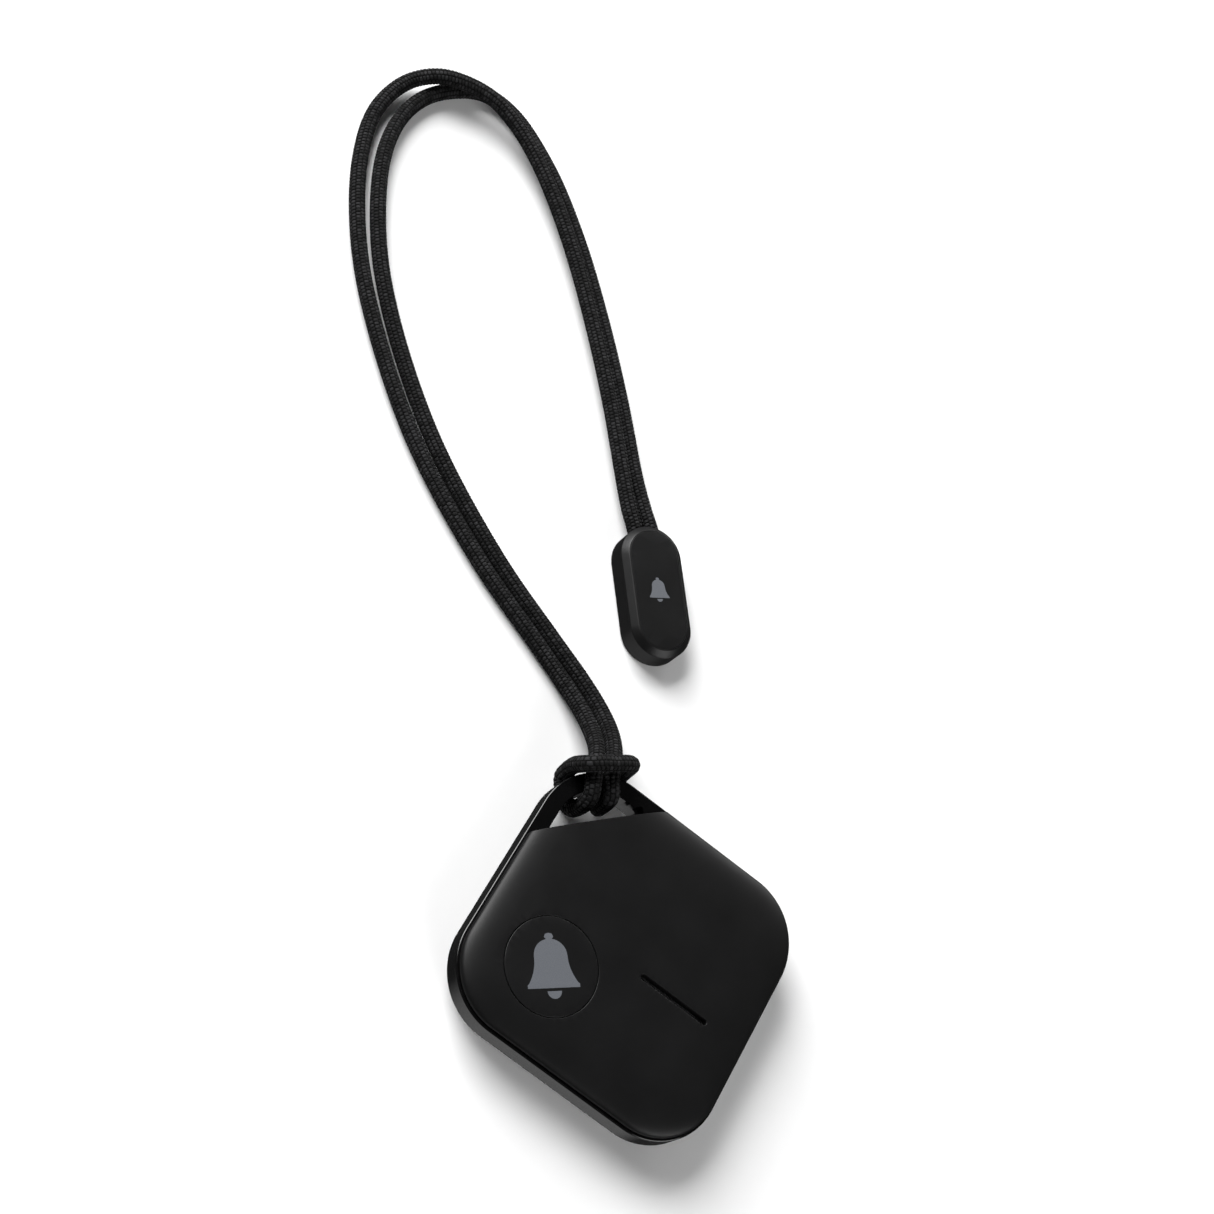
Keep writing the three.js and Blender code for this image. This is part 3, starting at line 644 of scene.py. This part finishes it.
def front_cover():
    skin = Skin()
    rings = cover_rings(skin)
    holes = [
        through_hole(skin, lambda grow: circle(BUTTON_CENTRE, BUTTON_HOLE + grow)),
        through_hole(skin, lambda grow: stadium(SLOT_CENTRE, SLOT_LENGTH + 2 * grow, SLOT_WIDTH + 2 * grow)),
    ]
    skin.sheet(rings[-1], [hole[0] for hole in holes], crown, 1.1 * MM)
    outer = spigot_outline(SPIGOT_INSET)
    inner = spigot_outline(SPIGOT_INSET + SPIGOT_WALL)
    lip, foot = skin.loop(outer, COVER_LIP), skin.loop(outer, COVER_FOOT)
    inner_foot, inner_top = skin.loop(inner, COVER_FOOT), skin.loop(inner, CEILING)
    skin.wall([inner_top, inner_foot, foot, lip, rings[0]])
    skin.sheet(inner_top, [hole[-1] for hole in holes], CEILING, 4 * MM, up=False)
    weighted(skin.piece("cover_moulding", "cover", "matte_black", stands_for=["front_cover"]))


def spigot_outline(inset):
    """A face of the wall that locates a cover inside the frame."""
    return cut_square(inset, inset - 0.2 * MM)


def button_cap():
    """The button's crowned top, the flange that keeps it in, and the stem that works the switch."""
    skin = Skin()
    top = [skin.loop(circle(BUTTON_CENTRE, BUTTON_RADIUS - inset), lambda p, d=drop: crown(p, d))
           for inset, drop in rounded_edge(MOUTH_ROUND)]
    flange_top = CEILING - 0.2 * MM
    flange_foot = flange_top - 0.25 * MM
    flange = (BUTTON_HIGH.x - BUTTON_LOW.x) / 2
    stem, fillet = 1.5 * MM, 0.1 * MM
    profile = [
        (BUTTON_RADIUS, flange_top),
        (flange, flange_top),
        (flange, flange_foot),
        (stem + fillet, flange_foot),
        (stem, flange_foot - fillet),
        (stem, BUTTON_LOW.z),
    ]
    down = top + [skin.loop(circle(BUTTON_CENTRE, radius), z) for radius, z in profile]
    skin.wall(down[::-1])
    skin.sheet(top[0], [], crown, 0.9 * MM)
    skin.sheet(down[-1], [], BUTTON_LOW.z, 1 * MM, up=False)
    weighted(skin.piece("button_moulding", "button", "matte_black", stands_for=["button_cap"]))


# ---------------------------------------------------------------- printed bell


def bell_outline(size):
    """A plain bell: a crown knob, a flaring body and a straight lip, size tall, about its own middle."""
    half = [Vector((0.0, 0.5)), Vector((0.055, 0.485)), Vector((0.075, 0.44))]
    for i in range(9):
        a = math.radians(80 - 80 * i / 8)
        half.append(Vector((0.27 * math.cos(a), 0.16 + 0.25 * math.sin(a))))
    for i in range(1, 9):
        t = i / 8
        half.append(Vector((0.27 + 0.12 * t ** 2.2, 0.16 - 0.4 * t)))
    half += [Vector((0.42, -0.27)), Vector((0.42, -0.32))]
    left = [Vector((-p.x, p.y)) for p in half[1:]]
    return [p * size for p in half + left[::-1]]


def clapper_outline(size):
    return arc((0, -0.365 * size), 0.115 * size, 180, 360, 14)


def mark(name, body, centre, size, turn, height):
    """The printed bell, lying just over a surface."""
    skin = Skin()
    spin = Matrix.Rotation(turn, 2)
    for outline in (bell_outline(size), clapper_outline(size)):
        at = [spin @ p + Vector(centre) for p in outline]
        flat = np.array([tuple(p) for p in at])
        area = np.sum(flat[:, 0] * np.roll(flat[:, 1], -1) - flat[:, 1] * np.roll(flat[:, 0], -1))
        if area < 0:
            at = at[::-1]
        ring = skin.loop(at, height)
        skin.sheet(ring, [], height, size / 12)
    skin.piece(name, body, "ink")


# ---------------------------------------------------------------- frame and back


def mid_frame():
    skin = Skin()
    ease = 0.22 * MM
    foot = 0.35 * MM
    outer = [skin.loop(rounded_square(inset), FRAME_FOOT + drop) for inset, drop in rounded_edge(foot)]
    outer += [skin.loop(rounded_square(inset), RIM_TOP - drop) for inset, drop in rounded_edge(ease)[::-1]]
    skin.wall(outer)
    rims = {RIM_TOP: [], FRAME_FOOT: []}
    for hole_at in (lambda grow: cut_square(FRAME_WALL - grow, EYE_WALL - grow), eye_outline):
        edge = rounded_edge(0.18 * MM)
        down = [skin.loop(hole_at(inset), RIM_TOP - drop) for inset, drop in edge]
        down += [skin.loop(hole_at(inset), FRAME_FOOT + drop) for inset, drop in edge[::-1]]
        skin.wall(down)
        rims[RIM_TOP].append(down[0])
        rims[FRAME_FOOT].append(down[-1])
    skin.sheet(outer[-1], rims[RIM_TOP], RIM_TOP, 3 * MM)
    skin.sheet(outer[0], rims[FRAME_FOOT], FRAME_FOOT, 3 * MM, up=False)
    made = skin.piece("frame_moulding", "housing", "gloss_black", stands_for=["mid_frame"])
    pry_notch(made)
    weighted(made)


def pry_notch(made):
    """A small recess beside the eye's blunt end, for a fingernail."""
    length, width, depth = 2.6 * MM, 1.2 * MM, 0.8 * MM
    tip = HALF - EYE_BAR
    x, y = tip - CUT_REACH * math.sqrt(2) - length / 2, tip - width / 2
    turn = Matrix.Rotation(math.radians(45), 2)
    skin = Skin()
    corners = [Vector((sx * length / 2, sy * width / 2)) for sx, sy in ((-1, -1), (1, -1), (1, 1), (-1, 1))]
    outline = [turn @ c + Vector((x, y)) for c in corners]
    loops = [skin.loop(outline, RIM_TOP - depth), skin.loop(outline, RIM_TOP + depth)]
    skin.wall(loops)
    skin.faces.append(tuple(loops[0][::-1]))
    skin.faces.append(tuple(loops[1]))
    carve(made, skin.points, skin.faces)


def carve(made, points, faces):
    """Cuts a closed shape out of a piece."""
    mesh = bpy.data.meshes.new("cutter")
    mesh.from_pydata(points, [], faces)
    cutter = placed("cutter", mesh)
    cut = made.modifiers.new("cut", "BOOLEAN")
    cut.operation = "DIFFERENCE"
    cut.solver = "EXACT"
    cut.object = cutter
    settle(made)
    bpy.data.objects.remove(cutter)


def settle(made):
    """Applies a piece's modifiers to its mesh."""
    graph = bpy.context.evaluated_depsgraph_get()
    mesh = bpy.data.meshes.new_from_object(made.evaluated_get(graph))
    made.modifiers.clear()
    made.data = mesh


def back_cover():
    """The tray: a rounded foot, a shelf under the frame, and a wall that stands up inside it."""
    reach = highest("back_cover")
    tray, cut = 1.4 * MM, 1 * MM
    wall = HALF - reach.x
    shelf = FRAME_FOOT - 0.3 * MM
    tray_floor = 1 * MM
    skin = Skin()
    loops = [skin.loop(cut_square(tray + i, cut + i), d) for i, d in rounded_edge(0.8 * MM, 8)]
    loops += [skin.loop(cut_square(tray + i, cut + i), shelf - d) for i, d in rounded_edge(0.12 * MM)[::-1]]
    loops += [skin.loop(spigot_outline(wall), z) for z in (shelf, reach.z)]
    loops += [skin.loop(spigot_outline(wall + SPIGOT_WALL), z) for z in (reach.z, tray_floor)]
    skin.wall(loops)
    skin.sheet(loops[0], [], 0.0, 4 * MM, up=False)
    skin.sheet(loops[-1], [], tray_floor, 4 * MM)
    weighted(skin.piece("tray_moulding", "housing", "tray_black", stands_for=["back_cover"]))


# ---------------------------------------------------------------- bead

BEAD_PLACE = Vector((-21.05, 46.82)) * MM
BEAD_TURN = math.radians(38 + 90)
BEAD_LENGTH = 19.2 * MM
BEAD_WIDTH = 9.15 * MM
BEAD_TOP = highest("bead_face").z
BEAD_CHAMFER = 0.85 * MM
CORD_SPACING = 2.36 * MM
CORD_DIAMETER = 2.2 * MM
BEAD_CENTRE = Vector((*BEAD_PLACE, 2 * MM))  # midway between the two cords
BEAD_WAY = Vector((math.cos(BEAD_TURN), math.sin(BEAD_TURN), 0))
PLATE_SEAM = BEAD_CHAMFER + 0.14 * MM
POCKET_FLOOR = BEAD_TOP - 0.7 * MM


def bead_outline(inset):
    turn = Matrix.Rotation(BEAD_TURN, 2)
    ring = stadium((0, 0), BEAD_LENGTH - 2 * inset, BEAD_WIDTH - 2 * inset, 32)
    return [turn @ p + BEAD_PLACE for p in ring]


def bead_shell():
    """The bead's body, with a chamfered top round the pocket for the plate."""
    skin = Skin()
    soft = 0.1 * MM
    shoulder = BEAD_TOP - BEAD_CHAMFER
    profile = rounded_edge(0.35 * MM)
    profile += [(0.0, shoulder - soft), (0.3 * soft, shoulder), (0.85 * soft, shoulder + 0.7 * soft)]
    profile += [(BEAD_CHAMFER - 0.7 * soft, BEAD_TOP - 0.85 * soft), (BEAD_CHAMFER, BEAD_TOP - 0.2 * soft)]
    profile += [(BEAD_CHAMFER + 0.6 * soft, BEAD_TOP)]
    loops = [skin.loop(bead_outline(inset), z) for inset, z in profile]
    skin.wall(loops)
    rim = skin.loop(bead_outline(PLATE_SEAM), BEAD_TOP)
    pocket = skin.loop(bead_outline(PLATE_SEAM), POCKET_FLOOR)
    skin.wall([loops[-1], rim, pocket])
    skin.sheet(loops[0], [], 0.0, 3 * MM, up=False)
    skin.sheet(pocket, [], POCKET_FLOOR, 3 * MM)
    shell = skin.piece("bead_moulding", "housing", "bead_black", stands_for=["bead_shell"])
    for side in (-1, 1):
        carve(shell, *cord_bore(side))
    weighted(shell)
    return shell


def bead_plate():
    """The flat plate that lies in the bead's pocket."""
    skin = Skin()
    inset = PLATE_SEAM + 0.03 * MM
    foot = BEAD_TOP - 0.6 * MM
    down = [skin.loop(bead_outline(inset + i), BEAD_TOP - d) for i, d in rounded_edge(0.05 * MM)]
    down.append(skin.loop(bead_outline(inset), foot))
    skin.wall(down[::-1])
    skin.sheet(down[0], [], BEAD_TOP, 2 * MM)
    skin.sheet(down[-1], [], foot, 3 * MM, up=False)
    plate = skin.piece("bead_plate", "housing", "bead_black", stands_for=["bead_face"])
    weighted(plate)
    return plate


def cord_bore(side):
    """The shape of one cord hole: a rod along the bead that flares at its mouth."""
    across = Vector((-BEAD_WAY.y, BEAD_WAY.x, 0))
    bore = CORD_DIAMETER / 2 + 0.12 * MM
    mouth = BEAD_LENGTH / 2
    profile = [(1.5 * MM, bore), (mouth - 0.55 * MM, bore), (mouth + 0.3 * MM, bore + 0.45 * MM)]
    steps = 40
    points, faces = [], []
    for reach, radius in profile:
        for i in range(steps):
            a = 2 * math.pi * i / steps
            ring = across * (side * CORD_SPACING / 2 + radius * math.cos(a))
            points.append(BEAD_CENTRE + BEAD_WAY * reach + ring + Vector((0, 0, radius * math.sin(a))))
    for start in range(0, len(points) - steps, steps):
        for i in range(steps):
            j = (i + 1) % steps
            faces.append((start + i, start + j, start + steps + j, start + steps + i))
    faces.append(tuple(range(steps))[::-1])
    faces.append(tuple(range(len(points) - steps, len(points))))
    return points, faces


# ---------------------------------------------------------------- cord

CORD_ROUTE = [
    (-23.1, 47.5, 2), (-27.9, 53.7, 2), (-30.2, 55.9, 2), (-40.9, 68.3, 2.05), (-49.4, 77.2, 2.15),
    (-58.7, 85.8, 2.3), (-67.7, 92.4, 2.6), (-73.8, 95.3, 3), (-79, 96.2, 3.5), (-83.8, 95.2, 3.55),
    (-87.5, 93.2, 3.2), (-90.3, 90, 1.8), (-91.2, 83.4, 1.15), (-88.5, 74.7, 1.15), (-81.8, 63.9, 1.15),
    (-73.6, 55, 1.15), (-59.6, 43.8, 1.15), (-43.3, 35.1, 1.15), (-31.1, 30.5, 1.15), (-25, 28.1, 1.25),
    (-21.3, 25.9, 2.2), (-18.61, 23.2, 3.9), (-17.12, 20.45, 5.75), (-16.31, 17.58, 7),
    (-15.64, 15.71, 7.2), (-14.98, 14.42, 7), (-14.72, 13.78, 6.1), (-14.68, 13.5, 4.9),
    (-14.78, 13.38, 3.5), (-15.12, 13.38, 2.05), (-15.85, 13.9, 1.25), (-16.9, 14.9, 1.15),
    (-17.5, 15.55, 1.17), (-18.27, 16.5, 1.58), (-18.48, 16.98, 3.3), (-18.5, 16.9, 5.4),
    (-18.35, 16.45, 7.5), (-17.62, 16.47, 9.2), (-16.5, 17.25, 9.65), (-15, 18.4, 9.6), (-13.5, 19.75, 9.1),
    (-12.5, 20.9, 7.4), (-12.2, 21.2, 5.4), (-12.1, 21.1, 3.5), (-11.95, 20.5, 1.95), (-11.85, 19.5, 1.25),
    (-11.85, 18.4, 1.15), (-11.98, 17.1, 1.2), (-12.12, 15.95, 1.75), (-12.3, 15.4, 3.3),
    (-12.35, 15.36, 5.1), (-12.6, 15.75, 6.8), (-13.76, 17.44, 7.22), (-14.4, 19.35, 7),
    (-15.18, 22.04, 5.75), (-16.66, 25.01, 3.9), (-19.1, 27.7, 2.2), (-23.1, 30.1, 1.25),
    (-29.3, 32.4, 1.15), (-41.4, 37, 1.15),
    (-57.6, 45.7, 1.15), (-71.6, 56.9, 1.15), (-79.7, 66, 1.15), (-86.1, 77.2, 1.15), (-87.8, 84.7, 1.15),
    (-87, 90.4, 1.15), (-84.3, 94.9, 1.15), (-80.7, 97.8, 1.15), (-75.7, 98.1, 1.15), (-67, 94.4, 1.15),
    (-57.7, 87.7, 1.15), (-48.3, 79.1, 1.15), (-39.6, 70.1, 1.15), (-31.5, 60.9, 1.2), (-28.1, 57.2, 1.7),
    (-26, 55.1, 2), (-21.2, 49, 2),
]
CORD_STEP = 0.11 * MM
CORD_SIDES = 40
BRAID_RELIEF = 0.1 * MM
BRAID_MIDDLE = 0.55  # the yarn height that lies at the cord's own radius
BRAID_SHIFT = 0.125  # of a column, so that the mesh's corners miss the middle of the gaps


def smooth_line(points, steps=24):
    """A centripetal spline through the points."""
    p = np.array(points, float)
    p = np.vstack([2 * p[0] - p[1], p, 2 * p[-1] - p[-2]])
    line = []
    for a, b, c, d in zip(p, p[1:], p[2:], p[3:]):
        t1 = np.linalg.norm(b - a) ** 0.5
        t2 = t1 + np.linalg.norm(c - b) ** 0.5
        t3 = t2 + np.linalg.norm(d - c) ** 0.5
        t = np.linspace(t1, t2, steps, endpoint=False)[:, None]
        ab = a * (t1 - t) / t1 + b * t / t1
        bc = b * (t2 - t) / (t2 - t1) + c * (t - t1) / (t2 - t1)
        cd = c * (t3 - t) / (t3 - t2) + d * (t - t2) / (t3 - t2)
        abc = ab * (t2 - t) / t2 + bc * t / t2
        bcd = bc * (t3 - t) / (t3 - t1) + cd * (t - t1) / (t3 - t1)
        line.append(abc * (t2 - t) / (t2 - t1) + bcd * (t - t1) / (t2 - t1))
    return np.vstack([*line, p[-2][None]])


def evenly(line, step):
    """Points about step apart along a line, and how far along each one is."""
    lengths = np.concatenate([[0], np.cumsum(np.linalg.norm(np.diff(line, axis=0), axis=1))])
    count = int(round(lengths[-1] / step)) + 1
    along = np.linspace(0, lengths[-1], count)
    return np.stack([np.interp(along, lengths, line[:, k]) for k in range(3)], 1), along


def side_ways(line):
    """Two directions square to the line at each point, carried along without twisting."""
    forward = np.gradient(line, axis=0)
    forward /= np.linalg.norm(forward, axis=1)[:, None]
    first = np.empty_like(line)
    side = np.cross(forward[0], (0, 0, 1))
    for i, way in enumerate(forward):
        side = side - way * side.dot(way)
        side /= np.linalg.norm(side)
        first[i] = side
    return first, np.cross(forward, first)


def braid(column, along):
    """Yarn height from 0 to 1 at a place round the cord, in columns, and along it."""
    row = along / WEAVE_PITCH + np.floor(column) * WEAVE_STAGGER
    side = np.abs(column % 1 - 0.5) * 2
    end = np.abs(row % 1 - 0.5) * 2
    return (1 - side ** 4) * (1 - end ** 4)


def lanyard(bead_pieces):
    """The one woven cord, from the bead round the hitch and back into the bead."""
    line, along = evenly(smooth_line(np.array(CORD_ROUTE) * MM), CORD_STEP)
    first, second = side_ways(line)
    turn = np.linspace(0, 1, CORD_SIDES + 1)[:-1]
    height = braid(turn[None, :] * WEAVE_ACROSS + BRAID_SHIFT, along[:, None])
    radius = CORD_DIAMETER / 2 + BRAID_RELIEF * (height - BRAID_MIDDLE)
    angle = 2 * np.pi * turn
    ring = first[:, None] * np.cos(angle)[None, :, None] + second[:, None] * np.sin(angle)[None, :, None]
    points = (line[:, None] + ring * radius[:, :, None]).reshape(-1, 3)
    rows = len(line)
    index = np.arange(rows * CORD_SIDES).reshape(rows, CORD_SIDES)
    beside = np.roll(index, -1, axis=1)
    faces = np.stack([index[:-1], beside[:-1], beside[1:], index[1:]], 2).reshape(-1, 4)
    mesh = bpy.data.meshes.new("lanyard")
    mesh.from_pydata(points, [], [*faces.tolist(), index[0].tolist()[::-1], index[-1].tolist()])
    mesh.shade_smooth()
    weave_map(mesh, rows, along, turn)
    made = placed("lanyard", mesh)
    finish(made, "housing", "woven_cord", ["lanyard_cord"])


def weave_map(mesh, rows, along, turn):
    """The weave's own coordinates: u once round the cord, v in metres along it."""
    layer = mesh.uv_layers.new(name="weave")
    quads = (rows - 1) * CORD_SIDES
    u0 = np.tile(turn, rows - 1)
    u1 = u0 + 1 / CORD_SIDES
    v0 = np.repeat(along[:-1], CORD_SIDES)
    v1 = np.repeat(along[1:], CORD_SIDES)
    corners = np.stack([u0, v0, u1, v0, u1, v1, u0, v1], 1).reshape(-1)
    whole = np.zeros(len(mesh.loops) * 2)
    whole[: quads * 8] = corners
    layer.data.foreach_set("uv", whole)


lanyard([bead_shell(), bead_plate()])
front_cover()
button_cap()
mid_frame()
back_cover()

MARK_TURN = math.radians(38)
INK_LIFT = 0.012 * MM
mark("button_mark", "button", BUTTON_CENTRE, 8.4 * MM, MARK_TURN, lambda p: crown(p) + INK_LIFT)
mark("bead_mark", "housing", BEAD_PLACE, 3.6 * MM, MARK_TURN, lambda p: BEAD_TOP + INK_LIFT)

# ---------------------------------------------------------------- pieces kept from the frame


def carry_over():
    """Gives each CAD piece that stays the finish of its slot."""
    slots = {part["node"]: part["material_slot"] for part in frame["record"]["subparts"]}
    for node, made in frame["nodes"].items():
        for slot in made.material_slots:
            slot.material = FINISHES[slots[node]]


carry_over()

# ---------------------------------------------------------------- studio


PAPER_REACH = 3.0
WALL_RADIUS = 2.9
WALL_HEIGHT = 3.0


def paper(name, points, faces):
    """A sheet of studio paper, which glossy pieces don't reflect."""
    mesh = bpy.data.meshes.new(name)
    mesh.from_pydata(points, [], faces)
    made = placed(name, mesh)
    made.data.materials.append(paper_sweep())
    made.visible_glossy = False
    return made


def floor():
    """The floor, a hair below the tag."""
    corners = [(x * PAPER_REACH, y * PAPER_REACH, 0) for x, y in ((-1, -1), (1, -1), (1, 1), (-1, 1))]
    made = paper("floor", corners, [(0, 1, 2, 3)])
    made.location.z = -0.02 * MM


def backdrop():
    """A paper wall all round, standing on the floor, which only closes the view and lights nothing."""
    skin = Skin()
    ring = circle((0, 0), WALL_RADIUS)
    skin.wall([skin.loop(ring, WALL_HEIGHT), skin.loop(ring, 0.0)])
    made = paper("backdrop", skin.points, skin.faces)
    made.visible_diffuse = False
    made.visible_shadow = False


def softbox(name, place, aim, size, power):
    data = bpy.data.lights.new(name, "AREA")
    data.shape = "RECTANGLE"
    data.size, data.size_y = size
    data.energy = power
    made = placed(name, data)
    made.location = place
    made.rotation_euler = (Vector(aim) - Vector(place)).to_track_quat("-Z", "Y").to_euler()


CARD, GLOW, DARK = 0.6, 0.5, 0.04  # how bright the card, the glow and the rest of the room are


def studio():
    middle = (-0.035, 0.04, 0)
    softbox("key", (-0.85, 0.45, 0.6), middle, (0.8, 0.8), 26)
    softbox("fill", (1.1, -0.65, 0.6), middle, (1.0, 1.0), 13)
    softbox("edge", (0.2, 1.1, 0.26), middle, (0.7, 0.3), 4)
    room()
    bpy.context.scene.view_settings.view_transform = "Standard"


def room():
    """A dark room, with a pale card low in front of the tag and a glow low behind it."""
    world = bpy.data.worlds.new("studio")
    bpy.context.scene.world = world
    world.use_nodes = True
    nodes = Nodes(world.node_tree)
    _, north, up = nodes.axes(nodes.node("TexCoord", output="Generated"))
    card = nodes.ramp(0 - north, 0.1, 0.45) * nodes.ramp(0 - up, 0.3, 0.6)
    glow = nodes.ramp(north, 0.75, 0.95) * nodes.ramp(0.3 - abs(up), 0.0, 0.2)
    background = world.node_tree.nodes["Background"]
    nodes.feed(background.inputs["Color"], (1, 1, 1, 1))
    nodes.feed(background.inputs["Strength"], card * CARD + glow * GLOW + DARK)


floor()
backdrop()
studio()
